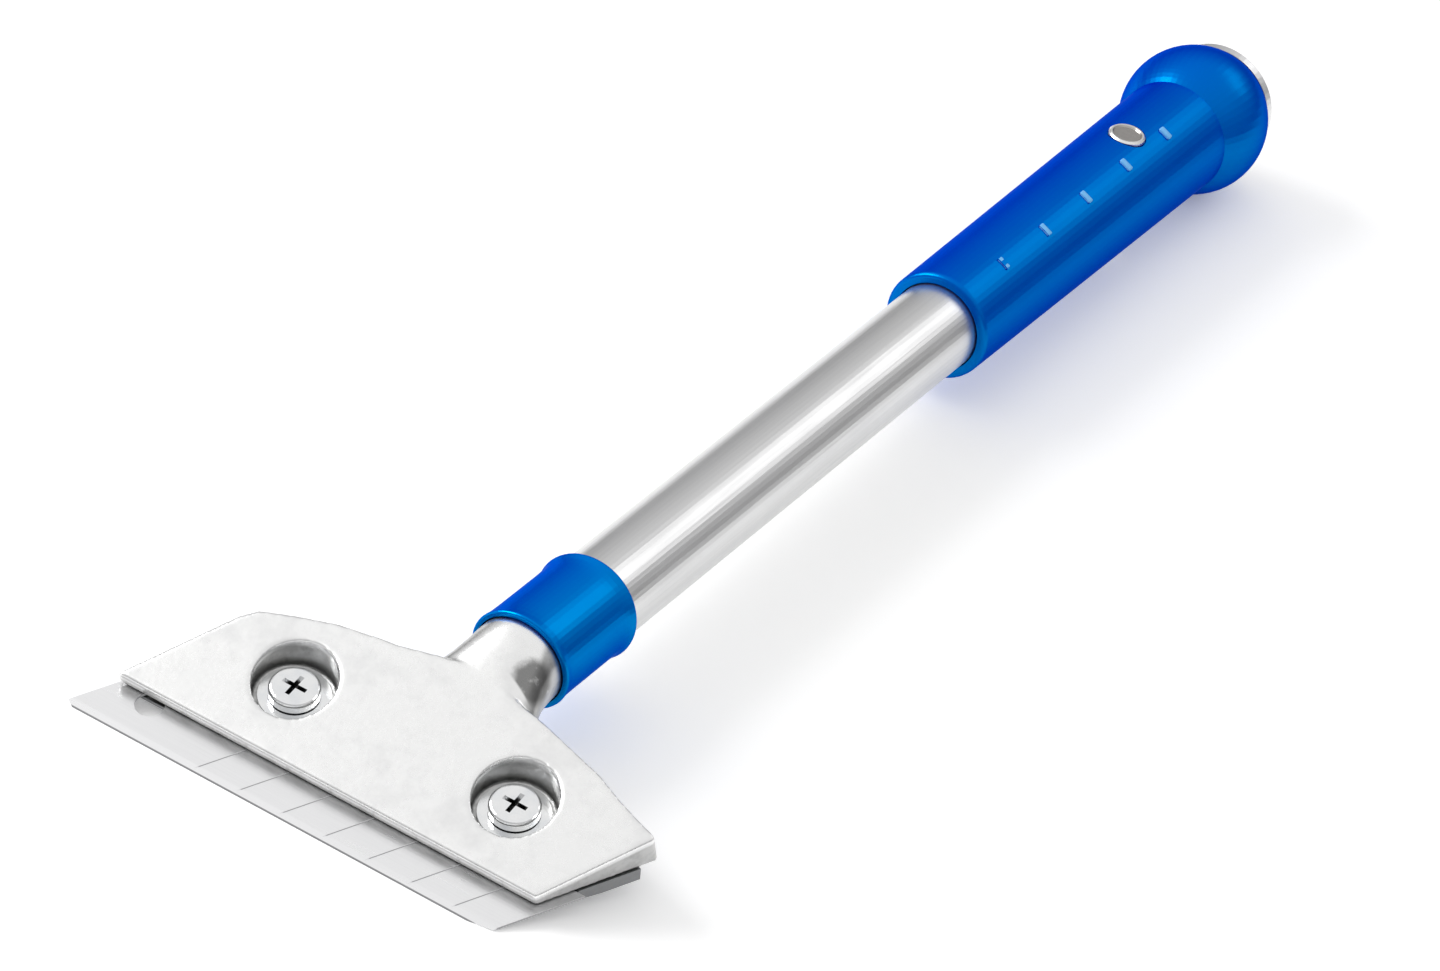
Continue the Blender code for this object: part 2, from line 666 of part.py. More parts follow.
def build_rivet(handle):
    """Two dished heads on one shank, square to the handle."""
    axis = guide("rivet_axis", handle, (0, 0, rivet_place), (math.pi / 2, 0, 0))
    top = grip_radius(rivet_place) + RIVET_PROUD
    under = top - RIVET_HEAD
    rim = RIVET_HEAD_RADIUS - RIVET_DISH
    half_profile = [(under, RIVET_RADIUS), (under, RIVET_HEAD_RADIUS), (top - RIVET_DISH, RIVET_HEAD_RADIUS),
                    (top, rim), (top, rim - RIVET_DISH), (top - RIVET_DISH, rim - RIVET_DISH * 2),
                    (top - RIVET_DISH, 0)]
    mirrored = [(-along, radius) for along, radius in reversed(half_profile)]
    turned("grip_rivet", mirrored + half_profile, axis, "rivet_nickel", steps=SMALL_STEPS)


def build_cap(handle):
    """A turned cap with a slightly domed edge and a flat centre, on a long stem."""
    seat = cap_seat + GAP
    edge = seat + CAP_FLANGE
    stem_end = rivet_place - CAP_STEM_PAST_RIVET
    profile = [(stem_end, 0), (stem_end, inner_radius - CAP_STEM_EDGE),
               (stem_end + CAP_STEM_EDGE, inner_radius), (seat, inner_radius), (seat, cap_radius)]
    flat = cap_radius * CAP_FLAT_SHARE
    steps = 8
    for step in range(steps + 1):
        angle = math.pi / 2 * step / steps
        profile.append((edge + CAP_DOME * math.sin(angle), flat + (cap_radius - flat) * math.cos(angle)))
    profile.append((edge + CAP_DOME, 0))
    cap = turned("strike_cap", profile, handle, "cap_chrome")
    half = TUBE_RADIUS + OVERRUN
    combine(cap, rivet_cut("stem_rivet_cut", RIVET_RADIUS + GAP, half, handle), "DIFFERENCE")


def collar_radius(share):
    """Waisted in the middle and flared quickly to a lip at each end."""
    waist = TUBE_RADIUS + GAP + COLLAR_WAIST_WALL
    lip_wall = COLLAR_FRONT_WALL if share < 0.5 else COLLAR_BACK_WALL
    flare = abs(2 * share - 1) ** 8
    return waist + (lip_wall - COLLAR_WAIST_WALL) * flare


def build_collar(handle):
    """A turned sleeve whose front is cut at a lean, so that it reaches further over the top."""
    bore = TUBE_RADIUS + GAP
    front = COLLAR_START
    back = front + COLLAR_LENGTH
    rim = COLLAR_LIP_ROUND
    profile = [(front, bore)]
    profile += arc(front + rim, bore + COLLAR_FRONT_WALL - rim, rim, math.pi, math.pi / 2, 4)
    span = COLLAR_LENGTH - rim * 2
    steps = 18
    for step in range(1, steps):
        share = step / steps
        profile.append((front + rim + span * share, collar_radius(share)))
    profile += arc(back - rim, bore + COLLAR_BACK_WALL - rim, rim, math.pi / 2, 0, 4)
    profile.append((back, bore))
    collar = turned("neck_collar", profile, handle, "blue_collar")
    for point in collar.data.vertices:
        fade = (back - point.co.z) / COLLAR_LENGTH
        point.co.z += math.tan(COLLAR_LEAN) * point.co.y * fade


def build_pin(handle):
    """A rolled spring pin: an open ring in section, with a slot along its length."""
    across = guide("pin_axis", handle, (0, 0, PIN_PLACE), (0, math.pi / 2, 0))
    half = TUBE_RADIUS - GAP
    gap_angle = math.asin(PIN_SLOT / 2 / PIN_RADIUS)
    inner = PIN_RADIUS - PIN_WALL
    steps = 24
    outline = []
    for step in range(steps + 1):
        angle = gap_angle + (math.tau - 2 * gap_angle) * step / steps
        outline.append((PIN_RADIUS * math.cos(angle), PIN_RADIUS * math.sin(angle)))
    for step in range(steps, -1, -1):
        angle = gap_angle + (math.tau - 2 * gap_angle) * step / steps
        outline.append((inner * math.cos(angle), inner * math.sin(angle)))
    prism("neck_spring_pin", outline, -half, half, across, "pin_steel")


def main():
    clear_scene()
    sole = head_outline()
    edge = blade_outline()
    middle_x = (min(x for x, y in edge) + max(x for x, y in sole)) / 2
    front = edge_y * math.cos(lie) - edge_z * math.sin(lie)
    back = cap_end * math.cos(lie) + cap_radius * CAP_FLAT_SHARE * abs(math.sin(lie))
    height = BALL_RADIUS - ball_centre * math.sin(lie)
    tool = guide("tool", None, (-middle_x, -(front + back) / 2, height), (lie, 0, 0))
    handle = guide("handle_axis", tool, turn=(-math.pi / 2, 0, 0))
    head = guide("head_axis", tool, turn=(HEAD_BEND, 0, 0))
    seat = guide("blade_seat", head, (0, -HEAD_REACH, seat_height), (-SEAT_ANGLE, 0, 0))
    build_head(head, seat, handle)
    build_blade(seat)
    build_clamp(seat)
    build_screws(seat)
    build_collar(handle)
    build_pin(handle)
    build_tube(handle)
    build_grip(handle)
    build_rivet(handle)
    build_cap(handle)


main()
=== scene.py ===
import bpy
import bmesh
import math
from mathutils import Matrix, Vector


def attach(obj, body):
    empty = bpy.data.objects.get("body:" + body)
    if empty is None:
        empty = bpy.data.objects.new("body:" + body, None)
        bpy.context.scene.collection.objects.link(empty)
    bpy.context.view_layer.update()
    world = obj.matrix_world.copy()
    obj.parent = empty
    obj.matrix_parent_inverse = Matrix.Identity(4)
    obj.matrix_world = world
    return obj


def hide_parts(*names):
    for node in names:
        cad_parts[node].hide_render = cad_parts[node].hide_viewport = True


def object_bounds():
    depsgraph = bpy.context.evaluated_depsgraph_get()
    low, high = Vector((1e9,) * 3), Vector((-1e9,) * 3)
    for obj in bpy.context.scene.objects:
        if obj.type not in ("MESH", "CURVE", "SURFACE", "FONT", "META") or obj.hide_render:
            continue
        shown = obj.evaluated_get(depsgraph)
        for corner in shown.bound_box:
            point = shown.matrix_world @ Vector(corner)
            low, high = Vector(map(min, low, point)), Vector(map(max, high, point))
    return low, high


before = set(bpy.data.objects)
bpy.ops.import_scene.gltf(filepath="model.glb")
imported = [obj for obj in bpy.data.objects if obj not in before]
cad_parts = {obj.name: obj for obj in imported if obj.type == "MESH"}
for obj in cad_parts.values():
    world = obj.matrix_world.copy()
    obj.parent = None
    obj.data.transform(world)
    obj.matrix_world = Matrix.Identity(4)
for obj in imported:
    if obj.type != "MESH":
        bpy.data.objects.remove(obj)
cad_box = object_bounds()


class Signal:
    """One value in a node tree. Sums and products of signals add their own Math nodes."""

    def __init__(self, graph, socket):
        self.graph = graph
        self.socket = socket

    def math(self, operation, first, second):
        return self.graph.node("ShaderNodeMath", {"operation": operation}, {0: first, 1: second})

    def __add__(self, other):
        return self.math("ADD", self, other)

    def __sub__(self, other):
        return self.math("SUBTRACT", self, other)

    def __rsub__(self, other):
        return self.math("SUBTRACT", other, self)

    def __mul__(self, other):
        return self.math("MULTIPLY", self, other)

    __radd__ = __add__
    __rmul__ = __mul__


class Graph:
    """A node tree and the nodes added to it."""

    def __init__(self, tree):
        self.tree = tree

    def node(self, kind, settings, inputs, output=0):
        """A node of a kind: its settings first, then the values or links of its sockets."""
        made = self.tree.nodes.new(kind)
        for name, value in settings.items():
            if name == "stops":
                self.set_stops(made.color_ramp, value)
            else:
                setattr(made, name, value)
        self.fill(made, inputs)
        return Signal(self, made.outputs[output])

    def set_stops(self, ramp, stops):
        while len(ramp.elements) < len(stops):
            ramp.elements.new(1)
        for element, (position, colour) in zip(ramp.elements, stops):
            element.position = position
            element.color = (*colour, 1)

    def fill(self, node, inputs):
        """Links signals to a node's sockets, and sets plain numbers and colours on them."""
        for name, value in inputs.items():
            socket = node.inputs[name]
            if isinstance(value, Signal):
                self.tree.links.new(value.socket, socket)
            elif socket.type == "RGBA":
                socket.default_value = (*value, 1)
            else:
                socket.default_value = value


class Finish(Graph):
    """The surface of one piece: a principled shader and the nodes that feed it."""

    def __init__(self, name, metallic):
        self.material = bpy.data.materials.new(name)
        self.material.use_nodes = True
        super().__init__(self.material.node_tree)
        self.shader = self.tree.nodes["Principled BSDF"]
        self.set({"Metallic": metallic})
        self.place = self.node("ShaderNodeTexCoord", {}, {}, "Object")

    def set(self, inputs):
        self.fill(self.shader, inputs)

    def stretched(self, scale):
        """The place on the piece, stretched so that a pattern runs along one way."""
        return self.node("ShaderNodeMapping", {}, {"Vector": self.place, "Scale": scale})

    def noise(self, place, scale, detail=3, roughness=0.5):
        """A random pattern from 0 to 1, with about as many swings to the metre as its scale."""
        return self.node("ShaderNodeTexNoise", {}, {"Vector": place, "Scale": scale,
                                                    "Detail": detail, "Roughness": roughness})

    def blend(self, share, first, second):
        """One colour shading into another; sockets 0, 6 and 7 are the share and the colours."""
        return self.node("ShaderNodeMix", {"data_type": "RGBA"}, {0: share, 6: first, 7: second}, 2)

    def depth(self, point, normal):
        """How far a place on the piece lies behind a plane, in metres."""
        height = self.node("ShaderNodeVectorMath", {"operation": "DOT_PRODUCT"},
                           {0: self.place, 1: normal}, "Value")
        return Vector(point).dot(Vector(normal)) - height

    def apart(self, point):
        """How far a place on the piece lies from a point, in metres."""
        return self.node("ShaderNodeVectorMath", {"operation": "DISTANCE"},
                         {0: self.place, 1: point}, "Value")

    def step(self, value, none, full):
        """A smooth rise from 0 to 1 as a value goes from none to full; either is the larger."""
        return self.node("ShaderNodeMapRange", {"interpolation_type": "SMOOTHSTEP"},
                         {"Value": value, "From Min": none, "From Max": full})

    def gloss(self, share, inputs):
        """A share of a second, tinted metallic shader over the first, like a pearl gloss."""
        sheen = self.node("ShaderNodeBsdfPrincipled", {}, {"Metallic": 1, **inputs})
        base = Signal(self, self.shader.outputs[0])
        both = self.node("ShaderNodeMixShader", {}, {0: share, 1: base, 2: sheen})
        self.fill(self.tree.nodes["Material Output"], {"Surface": both})

    def relief(self, height, depth):
        """A bump of a height from 0 to 1, as deep as given, in metres."""
        self.set({"Normal": self.node("ShaderNodeBump", {}, {"Height": height, "Distance": depth})})

    def dress(self, *nodes):
        for name in nodes:
            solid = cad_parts[name]
            solid.data.materials.clear()
            solid.data.materials.append(self.material)


FACE_POINT = (-0.003687, -0.155193, 0.015142)
FACE_NORMAL = (0, -0.457893, 0.889007)
FACE_SKIN_AND_SHADE_DEPTHS = (0.0010, 0.0020)
CAST_VOXEL = 0.0004
CAST_ROUNDS = 7
CAST_PALE = (0.91, 0.91, 0.905)
CAST_CLOUD = (0.79, 0.79, 0.79)
CAST_CLOUD_SCALE = 55
CAST_CLOUD_SHARE = 0.6
CAST_CLOUD_SWING = (0.42, 0.68)
CAST_SHADE = (0.58, 0.58, 0.575)
CAST_DEEP = (0.44, 0.44, 0.435)
CAST_SPECK_SCALE = 260
CAST_SPECK_SHARE = 0.4
CAST_SPECK_SWING = (0.40, 0.66)
CAST_GRAIN_SCALE = 900
CAST_ROUGH = 0.20
CAST_ROUGH_CLOUD = 0.10
CAST_ROUGH_GRAIN = 0.06
CAST_ROUGH_UNDER = 0.06
CAST_RELIEF = 0.00006
CAST_RELIEF_GRAIN = 0.35
CAST_RELIEF_SPECK = 0.25
CAST_RELIEF_UNDER = 0.75
NECK_SHADE_PLACE = (0.0186, -0.1361, 0.0231)
NECK_SHADE_REACH = (0.0078, 0.0052)
NECK_SHADE_RAGGED = 0.0036
NECK_SHADE_EDGE_POINT = (0.0125, -0.1383, 0)
NECK_SHADE_EDGE_NORMAL = (-0.26, -0.965, 0)
NECK_SHADE_EDGE = (0, 0.0006)
NECK_SHADE_SPECK_SWING = (0.25, 0.45)
NECK_SHADE_SHARE = 0.8
NECK_SHADE_DARK = (0.09, 0.09, 0.088)


def softened(name, source, voxel, rounds):
    """A finer copy of a solid with its edges softened, as barrelling leaves a casting."""
    copy = bpy.data.objects.new(name + "_form", source.data.copy())
    bpy.context.scene.collection.objects.link(copy)
    remesh = copy.modifiers.new("remesh", "REMESH")
    remesh.voxel_size = voxel
    remesh.use_smooth_shade = True
    smooth = copy.modifiers.new("smooth", "SMOOTH")
    smooth.iterations = rounds
    bpy.context.view_layer.update()
    formed = copy.evaluated_get(bpy.context.evaluated_depsgraph_get())
    piece = bpy.data.objects.new(name, bpy.data.meshes.new_from_object(formed))
    bpy.data.objects.remove(copy)
    bpy.context.scene.collection.objects.link(piece)
    return piece


head = softened("cast_head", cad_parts["head_casting"], CAST_VOXEL, CAST_ROUNDS)
cast = Finish("nickel_casting", metallic=1)
cast_cloud = cast.noise(cast.place, CAST_CLOUD_SCALE, detail=4)
cast_grain = cast.noise(cast.place, CAST_GRAIN_SCALE)
cast_speck = cast.noise(cast.place, CAST_SPECK_SCALE, detail=5, roughness=0.65)
# Below the flat face the casting is painted darker: partly its raw cast skin, and partly painted
# shade in the pockets, on the front lip and on the neck's flanks.
cast_under = cast.step(cast.depth(FACE_POINT, FACE_NORMAL), *FACE_SKIN_AND_SHADE_DEPTHS)
cast_mottle = CAST_CLOUD_SHARE * cast_cloud + CAST_SPECK_SHARE * cast_speck
cast_top = cast.blend(cast.step(cast_mottle, *CAST_CLOUD_SWING), CAST_PALE, CAST_CLOUD)
cast_raw_and_shade = cast.blend(cast.step(cast_speck, *CAST_SPECK_SWING), CAST_SHADE, CAST_DEEP)
cast_skin_and_shade = cast.blend(cast_under, cast_top, cast_raw_and_shade)
# A painted shade patch on the neck's right flank, where the fillet between neck and plate lies in
# shade, ragged with the specks.
neck_shade_near = cast.step(cast.apart(NECK_SHADE_PLACE) + NECK_SHADE_RAGGED * cast_speck, *NECK_SHADE_REACH)
neck_shade_behind = cast.step(cast.depth(NECK_SHADE_EDGE_POINT, NECK_SHADE_EDGE_NORMAL), *NECK_SHADE_EDGE)
neck_shade_speck = cast.step(cast_speck, *NECK_SHADE_SPECK_SWING)
neck_shade = neck_shade_near * neck_shade_behind * neck_shade_speck * NECK_SHADE_SHARE
cast.set({"Base Color": cast.blend(neck_shade, cast_skin_and_shade, NECK_SHADE_DARK),
          "Roughness": CAST_ROUGH + CAST_ROUGH_CLOUD * cast_cloud + CAST_ROUGH_GRAIN * cast_grain
          + CAST_ROUGH_UNDER * cast_under})
cast.relief(CAST_RELIEF_GRAIN * cast_grain
            + cast_speck * (CAST_RELIEF_SPECK + CAST_RELIEF_UNDER * cast_under), CAST_RELIEF)
head.data.materials.clear()
head.data.materials.append(cast.material)
cast.dress("head_casting")
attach(head, "tool")
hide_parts("head_casting")

# Snap-off blade
# Hardened strip steel, ground to an edge on both sides. Score lines are rolled across it at a slant
# so that a blunt piece snaps off, and the hole at its tail takes a holder's peg.
EDGE_POINT = (0, -0.181419, 0)
EDGE_AHEAD = (0, -1, 0)
EDGE_LINE = (0.0004, 0.0002)
EDGE_DARK = (0.26, 0.26, 0.27)
SEAT_NORMAL = (0, -0.246175, 0.969226)
SCORE_DEPTH = (0.00002, 0.00006)
SCORE_START = (0.0014, 0.0018)
SCORE_SHARE = 0.7
BLADE_PALE = (0.93, 0.93, 0.935)
BLADE_DARK = (0.80, 0.80, 0.81)
BLADE_LINE_SCALE = 2600
BLADE_LINE_STRETCH = (0.02, 1, 1)
BLADE_LINE_SHARE = 0.6
BLADE_HAZE_SCALE = 60
BLADE_HAZE_SHARE = 0.3
BLADE_ROUGH = 0.20
BLADE_ROUGH_HAZE = 0.10
BLADE_ROUGH_LINES = 0.08
BLADE_RELIEF = 0.00001
blade_top = max((vertex.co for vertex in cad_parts["snap_blade"].data.vertices),
                key=Vector(SEAT_NORMAL).dot)
blade = Finish("ground_blade_steel", metallic=1)
blade_lines = blade.noise(blade.stretched(BLADE_LINE_STRETCH), BLADE_LINE_SCALE, detail=2)
blade_haze = blade.noise(blade.place, BLADE_HAZE_SCALE)
blade_back = blade.depth(EDGE_POINT, EDGE_AHEAD)
blade_edge = blade.step(blade_back, *EDGE_LINE)
blade_score = (blade.step(blade.depth(blade_top, SEAT_NORMAL), *SCORE_DEPTH)
               * blade.step(blade_back, *SCORE_START))
blade_metal = blade.blend(blade_lines * BLADE_LINE_SHARE + blade_haze * BLADE_HAZE_SHARE,
                          BLADE_PALE, BLADE_DARK)
blade.set({"Base Color": blade.blend(blade_edge + SCORE_SHARE * blade_score, blade_metal,
                                     EDGE_DARK),
           "Roughness": BLADE_ROUGH + BLADE_ROUGH_HAZE * blade_haze
           + BLADE_ROUGH_LINES * blade_lines})
blade.relief(blade_lines, BLADE_RELIEF)
blade.dress("snap_blade")

# Clamp plate
# A strip of mild steel under the blade, tapped for the two screws, which pull it up to clamp the
# blade to the head. Its zinc plating is dull.
PLATE_PALE = (0.34, 0.345, 0.35)
PLATE_DARK = (0.20, 0.205, 0.21)
PLATE_LINE_SCALE = 1500
PLATE_LINE_STRETCH = (0.03, 1, 1)
PLATE_LINE_SHARE = 0.4
PLATE_CLOUD_SCALE = 90
PLATE_CLOUD_SHARE = 0.5
PLATE_ROUGH = 0.28
PLATE_ROUGH_CLOUD = 0.2
PLATE_RELIEF = 0.00003
plate = Finish("zinc_plate_steel", metallic=1)
plate_lines = plate.noise(plate.stretched(PLATE_LINE_STRETCH), PLATE_LINE_SCALE)
plate_cloud = plate.noise(plate.place, PLATE_CLOUD_SCALE, detail=4)
plate_mottle = plate_lines * PLATE_LINE_SHARE + plate_cloud * PLATE_CLOUD_SHARE
plate.set({"Base Color": plate.blend(plate_mottle, PLATE_PALE, PLATE_DARK),
           "Roughness": PLATE_ROUGH + PLATE_ROUGH_CLOUD * plate_cloud})
plate.relief(plate_lines, PLATE_RELIEF)
plate.dress("clamp_plate")

# Clamp screws and their washers
# Pan-head screws with a cross recess, cold headed and bright zinc plated. Each one draws the clamp
# plate up through a plain washer that lies on the floor of its pocket.
SCREW_TOPS = ((-0.021707, -0.157641, 0.011717), (0.029993, -0.157641, 0.011717))
RECESS_REACH = (0.0022, 0.00205)
RECESS_DEPTH = (0.00015, 0.00045)
RECESS_SHADE_DARK = (0.18, 0.18, 0.18)
ZINC_PALE = (0.93, 0.93, 0.92)
ZINC_BLUE = (0.68, 0.71, 0.76)
ZINC_CLOUD_SCALE = 240
ZINC_GRAIN_SCALE = 2200
ZINC_ROUGH = 0.06
ZINC_ROUGH_CLOUD = 0.12
ZINC_ROUGH_GRAIN = 0.04
ZINC_RELIEF = 0.00001
zinc = Finish("bright_zinc", metallic=1)
zinc_cloud = zinc.noise(zinc.place, ZINC_CLOUD_SCALE)
zinc_grain = zinc.noise(zinc.place, ZINC_GRAIN_SCALE, detail=2)
# The cross recesses are painted dark, as shade inside them.
recess_shade_near = sum(zinc.step(zinc.apart(top), *RECESS_REACH) for top in SCREW_TOPS)
recess_shade_depth = zinc.step(zinc.depth(SCREW_TOPS[0], SEAT_NORMAL), *RECESS_DEPTH)
zinc_metal = zinc.blend(zinc_cloud * zinc_cloud, ZINC_PALE, ZINC_BLUE)
zinc.set({"Base Color": zinc.blend(recess_shade_near * recess_shade_depth, zinc_metal, RECESS_SHADE_DARK),
          "Roughness": ZINC_ROUGH + ZINC_ROUGH_CLOUD * zinc_cloud + ZINC_ROUGH_GRAIN * zinc_grain})
zinc.relief(zinc_grain, ZINC_RELIEF)
zinc.dress("clamp_screw_left", "clamp_screw_right", "screw_washer_left", "screw_washer_right")

# Cross pin of the neck
# A rolled spring pin of blue-black steel. It is driven through the tube and the casting's spigot
# before the collar is slid over it.
PIN_DARK = (0.16, 0.17, 0.19)
PIN_PALE = (0.30, 0.31, 0.34)
PIN_CLOUD_SCALE = 500
PIN_ROUGH = 0.3
PIN_ROUGH_CLOUD = 0.2
PIN_RELIEF = 0.00002
pin = Finish("oiled_spring_steel", metallic=1)
pin_cloud = pin.noise(pin.place, PIN_CLOUD_SCALE)
pin.set({"Base Color": pin.blend(pin_cloud, PIN_DARK, PIN_PALE),
         "Roughness": PIN_ROUGH + PIN_ROUGH_CLOUD * pin_cloud})
pin.relief(pin_cloud, PIN_RELIEF)
pin.dress("neck_spring_pin")

# Handle tube
# Drawn aluminium tube with a satin skin. Fine lines run along it from the die, and it is linished
# and left bare between the collar and the grip.
TUBE_PALE = (0.82, 0.82, 0.815)
TUBE_DARK = (0.62, 0.62, 0.625)
TUBE_LINE_SCALE = 1800
TUBE_LINE_STRETCH = (1, 0.015, 1)
TUBE_LINE_SHARE = 0.6
TUBE_HAZE_SCALE = 45
TUBE_HAZE_SHARE = 0.3
TUBE_ROUGH = 0.22
TUBE_ROUGH_HAZE = 0.12
TUBE_ROUGH_LINES = 0.08
TUBE_RELIEF = 0.00002
tube = Finish("satin_aluminium", metallic=1)
tube_lines = tube.noise(tube.stretched(TUBE_LINE_STRETCH), TUBE_LINE_SCALE)
tube_haze = tube.noise(tube.place, TUBE_HAZE_SCALE)
tube_mottle = tube_lines * TUBE_LINE_SHARE + tube_haze * TUBE_HAZE_SHARE
tube.set({"Base Color": tube.blend(tube_mottle, TUBE_PALE, TUBE_DARK),
          "Roughness": TUBE_ROUGH + TUBE_ROUGH_HAZE * tube_haze + TUBE_ROUGH_LINES * tube_lines})
tube.relief(tube_lines, TUBE_RELIEF)
tube.dress("handle_tube")

# Collar and grip
# Both are moulded in one blue plastic with a smooth satin gloss. The collar snaps over the joint of
# head and tube, and the grip is pushed over the tube's end up to the hammer cap.
BLUE_DEEP = (0.0, 0.004, 0.40)
BLUE_PALE = (0.0, 0.007, 0.46)
BLUE_GLOSS = (0.0, 0.45, 0.90)
BLUE_EDGE = (0.0, 0.25, 0.75)
BLUE_CLOUD_SCALE = 55
BLUE_GRAIN_SCALE = 2400
BLUE_ROUGH = 0.25
BLUE_ROUGH_CLOUD = 0.09
BLUE_ROUGH_GRAIN = 0.02
BLUE_RELIEF = 0.00001
GRIP_SHARE = 0.30
COLLAR_SHARE = 0.42


def blue_plastic(name, share):
    """The blue of both mouldings, with as much pearl gloss as the share says."""
    blue = Finish(name, metallic=0)
    cloud = blue.noise(blue.place, BLUE_CLOUD_SCALE)
    grain = blue.noise(blue.place, BLUE_GRAIN_SCALE, detail=2)
    blue.set({"Base Color": blue.blend(cloud, BLUE_DEEP, BLUE_PALE), "Specular IOR Level": 0})
    blue.gloss(share, {"Base Color": BLUE_GLOSS, "Specular Tint": BLUE_EDGE,
                       "Roughness": BLUE_ROUGH + BLUE_ROUGH_CLOUD * cloud
                       + BLUE_ROUGH_GRAIN * grain})
    blue.relief(grain, BLUE_RELIEF)
    return blue


blue_plastic("blue_collar_plastic", COLLAR_SHARE).dress("neck_collar")
blue_plastic("blue_grip_plastic", GRIP_SHARE).dress("handle_grip")

# Marks of the grip
# Five small bars let into raised pads of the grip at even steps, painted pale blue as a highlight
# that the pads catch. Each stands a little further out than the last, as the grip grows thicker
# towards its ball.
BEND_PLACE = (0.010143, -0.126973, 0.018991)
HANDLE_LIE = math.radians(-0.3487)
MARK_COUNT = 5
MARK_FIRST = 0.1876
MARK_PITCH = 0.0190
MARK_TURN = math.radians(24)
MARK_RADIUS = 0.01225
MARK_SWELL = 0.00025
MARK_SIZE = (0.0032, 0.0018, 0.0011)
MARK_ROUND = 0.0004
MARK_HIGHLIGHT_BLUE = (0.10, 0.42, 0.86)
MARK_HIGHLIGHT_PALE = (0.20, 0.55, 0.95)
MARK_CLOUD_SCALE = 900
MARK_ROUGH = 0.35
MARK_ROUGH_CLOUD = 0.1
MARK_RELIEF = 0.00003
handle = Matrix.Translation(BEND_PLACE) @ Matrix.Rotation(HANDLE_LIE, 4, "X")
# The bars' pale blue is a painted highlight.
mark_highlight = Finish("pale_blue_painted_highlight", metallic=0)
mark_highlight_cloud = mark_highlight.noise(mark_highlight.place, MARK_CLOUD_SCALE)
mark_highlight.set({"Base Color": mark_highlight.blend(mark_highlight_cloud, MARK_HIGHLIGHT_BLUE, MARK_HIGHLIGHT_PALE),
         "Roughness": MARK_ROUGH + MARK_ROUGH_CLOUD * mark_highlight_cloud})
mark_highlight.relief(mark_highlight_cloud, MARK_RELIEF)
mark_form = bmesh.new()
for mark in range(MARK_COUNT):
    along = Matrix.Translation((0, MARK_FIRST + mark * MARK_PITCH, 0))
    out = Matrix.Translation((0, 0, MARK_RADIUS + mark * MARK_SWELL))
    turned = handle @ along @ Matrix.Rotation(MARK_TURN, 4, "Y") @ out
    bmesh.ops.create_cube(mark_form, size=1, matrix=turned @ Matrix.Diagonal((*MARK_SIZE, 1)))
bmesh.ops.bevel(mark_form, geom=mark_form.edges[:], offset=MARK_ROUND, segments=3, profile=0.5,
                affect="EDGES")
mark_mesh = bpy.data.meshes.new("grip_marks")
mark_form.to_mesh(mark_mesh)
mark_form.free()
mark_mesh.polygons.foreach_set("use_smooth", [True] * len(mark_mesh.polygons))
mark_mesh.materials.append(mark_highlight.material)
marks = bpy.data.objects.new("grip_marks", mark_mesh)
bpy.context.scene.collection.objects.link(marks)
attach(marks, "tool")

# Rivet of the grip
# A nickel plated steel rivet, closed over both sides. It holds the grip, the tube and the stem of
# the hammer cap together.
RIVET_PLACE = (0.010143, 0.127621, 0.030700)
RIVET_HIGHLIGHT_REACH = (0.0033, 0.0036)
NICKEL_RIM_HIGHLIGHT = (0.86, 0.86, 0.85)
NICKEL_PALE = (0.50, 0.48, 0.46)
NICKEL_DARK = (0.34, 0.325, 0.31)
NICKEL_CLOUD_SCALE = 700
NICKEL_ROUGH = 0.2
NICKEL_ROUGH_CLOUD = 0.2
NICKEL_RELIEF = 0.00002
nickel = Finish("nickel_rivet", metallic=1)
nickel_cloud = nickel.noise(nickel.place, NICKEL_CLOUD_SCALE)
# The rim of the rivet's head is painted bright, as a highlight on its bevelled edge.
rivet_rim_highlight = nickel.step(nickel.apart(RIVET_PLACE), *RIVET_HIGHLIGHT_REACH)
rivet_head = nickel.blend(nickel_cloud, NICKEL_PALE, NICKEL_DARK)
nickel.set({"Base Color": nickel.blend(rivet_rim_highlight, rivet_head, NICKEL_RIM_HIGHLIGHT),
            "Roughness": NICKEL_ROUGH + NICKEL_ROUGH_CLOUD * nickel_cloud})
nickel.relief(nickel_cloud, NICKEL_RELIEF)
nickel.dress("grip_rivet")

# Hammer cap
# Turned from steel bar, hardened and plated. The lathe leaves fine rings on its face, and its stem
# sits deep in the tube so that blows go to the handle and not to the grip.
CAP_FACE = (0.010143, 0.181341, 0.017114)
CAP_PALE = (0.88, 0.88, 0.88)
CAP_DARK = (0.70, 0.70, 0.705)
CAP_CLOUD_SCALE = 120
CAP_CLOUD_SHARE = 0.5
CAP_RING_SCALE = 2400
CAP_RING_SHARE = 0.5
CAP_ROUGH = 0.24
CAP_ROUGH_CLOUD = 0.10
CAP_ROUGH_RINGS = 0.10
CAP_RELIEF = 0.00002
cap = Finish("turned_steel", metallic=1)
cap_cloud = cap.noise(cap.place, CAP_CLOUD_SCALE)
cap_rings = cap.noise(cap.apart(CAP_FACE), CAP_RING_SCALE, detail=2)
cap_mottle = cap_cloud * CAP_CLOUD_SHARE + cap_rings * CAP_RING_SHARE
cap.set({"Base Color": cap.blend(cap_mottle, CAP_PALE, CAP_DARK),
         "Roughness": CAP_ROUGH + CAP_ROUGH_CLOUD * cap_cloud + CAP_ROUGH_RINGS * cap_rings})
cap.relief(cap_rings, CAP_RELIEF)
cap.dress("strike_cap")

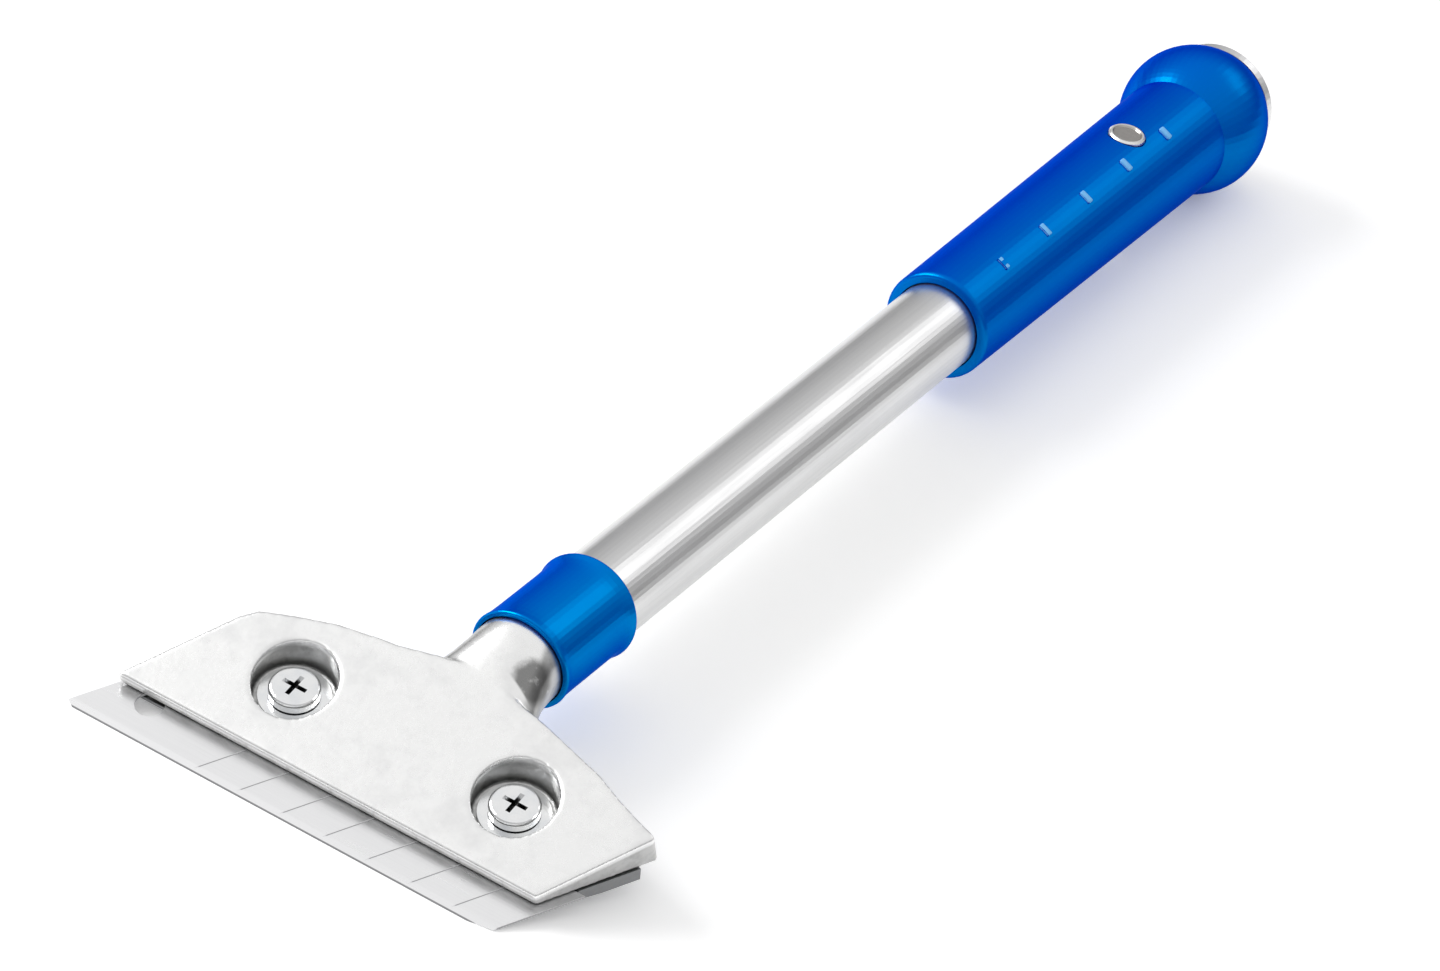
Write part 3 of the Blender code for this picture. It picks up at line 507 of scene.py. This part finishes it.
# Floor
# A pale sheet of board under the tool, which runs on far behind it. The camera and bright metal see
# it white, and it keeps the tool's soft shadow.
FLOOR_SIZE = 30.0
FLOOR_SHADE = (0.90, 0.90, 0.90)
FLOOR_PALE = (0.92, 0.92, 0.92)
FLOOR_ROUGH = 0.9
FLOOR_CLOUD_SCALE = 6
FLOOR_UNLIT = (0, 0, 0)
FLOOR_LIFT = (0.22, 0.22, 0.22)
FLOOR_SEEN_BY = ("Is Camera Ray", "Is Glossy Ray", "Is Transmission Ray")
floor_form = bmesh.new()
bmesh.ops.create_grid(floor_form, x_segments=1, y_segments=1, size=FLOOR_SIZE / 2)
floor_mesh = bpy.data.meshes.new("floor")
floor_form.to_mesh(floor_mesh)
floor_form.free()
board = Finish("pale_floor", metallic=0)
board_cloud = board.noise(board.place, FLOOR_CLOUD_SCALE, detail=2)
board_seen = sum(board.node("ShaderNodeLightPath", {}, {}, ray) for ray in FLOOR_SEEN_BY)
board.set({"Base Color": board.blend(board_cloud, FLOOR_SHADE, FLOOR_PALE),
           "Roughness": FLOOR_ROUGH,
           "Emission Color": board.blend(board_seen, FLOOR_UNLIT, FLOOR_LIFT),
           "Emission Strength": 1})
floor_mesh.materials.append(board.material)
floor = bpy.data.objects.new("floor", floor_mesh)
floor.location.z = cad_box[0][2]
bpy.context.scene.collection.objects.link(floor)

# Lights
# Soft boxes behind the tool and to its left, in a pale room, at a level where a colour renders as
# it is written. The room is darker round its foot, which metal shows as a streak.
ROOM_FOOT = (0.03, 0.03, 0.03)
ROOM_WALL = (0.48, 0.48, 0.485)
ROOM_WALL_TOP = (0.51, 0.51, 0.515)
ROOM_ROOF = (0.88, 0.88, 0.88)
ROOM_STOPS = [(0.0, ROOM_FOOT), (0.53, ROOM_FOOT), (0.61, ROOM_WALL), (0.72, ROOM_WALL_TOP),
              (0.88, ROOM_ROOF), (1.0, ROOM_ROOF)]
BACK_BOX_PLACE = (0.42, 1.10, 0.86)
BACK_BOX_SIZE = (0.70, 0.50)
BACK_BOX_RADIANCE = 1.2
SIDE_BOX_PLACE = (-1.20, -0.35, 0.85)
SIDE_BOX_SIZE = (0.8, 0.8)
SIDE_BOX_RADIANCE = 6.5
world = bpy.data.worlds.new("pale_room")
bpy.context.scene.world = world
world.use_nodes = True
room = Graph(world.node_tree)
room_way = room.node("ShaderNodeTexCoord", {}, {}, "Generated")
room_up = room.node("ShaderNodeSeparateXYZ", {}, {0: room_way}, "Z")
room_rise = 0.5 * room_up + 0.5
room_shade = room.node("ShaderNodeValToRGB", {"stops": ROOM_STOPS}, {0: room_rise})
room.fill(room.tree.nodes["Background"], {"Color": room_shade})


def soft_box(name, place, size, radiance):
    """A soft box of a given brightness: its power is its brightness times its area and pi."""
    lamp = bpy.data.lights.new(name, "AREA")
    lamp.shape = "RECTANGLE"
    lamp.size, lamp.size_y = size
    lamp.energy = radiance * lamp.size * lamp.size_y * math.pi
    holder = bpy.data.objects.new(name, lamp)
    holder.location = place
    holder.rotation_euler = (-Vector(place)).to_track_quat("-Z", "Y").to_euler()
    bpy.context.scene.collection.objects.link(holder)


soft_box("back_box", BACK_BOX_PLACE, BACK_BOX_SIZE, BACK_BOX_RADIANCE)
soft_box("side_box", SIDE_BOX_PLACE, SIDE_BOX_SIZE, SIDE_BOX_RADIANCE)

# Camera
# Fitted to the blade, the pockets, the tube and the ball in the photograph. Its place and axes are
# measured along the handle, which lies a little tail down, from its bend at the head.
CAMERA_PLACE = (0.46310, -1.00695, 0.78780)
CAMERA_RIGHT = (0.842, 0.5022, 0.197)
CAMERA_DOWN = (0.4289, -0.4017, -0.8091)
CAMERA_AHEAD = (-0.3273, 0.7658, -0.5536)
CAMERA_LENS_MM = 172.84
CAMERA_SIGHT = 100
camera = bpy.data.objects.new("camera", bpy.data.cameras.new("camera"))
turn = Matrix((Vector(CAMERA_RIGHT), -Vector(CAMERA_DOWN), -Vector(CAMERA_AHEAD))).transposed()
camera.matrix_world = handle @ Matrix.Translation(CAMERA_PLACE) @ turn.to_4x4()
camera.data.lens = CAMERA_LENS_MM
camera.data.clip_end = CAMERA_SIGHT
bpy.context.scene.collection.objects.link(camera)
bpy.context.scene.camera = camera
bpy.context.scene.view_settings.view_transform = "Standard"
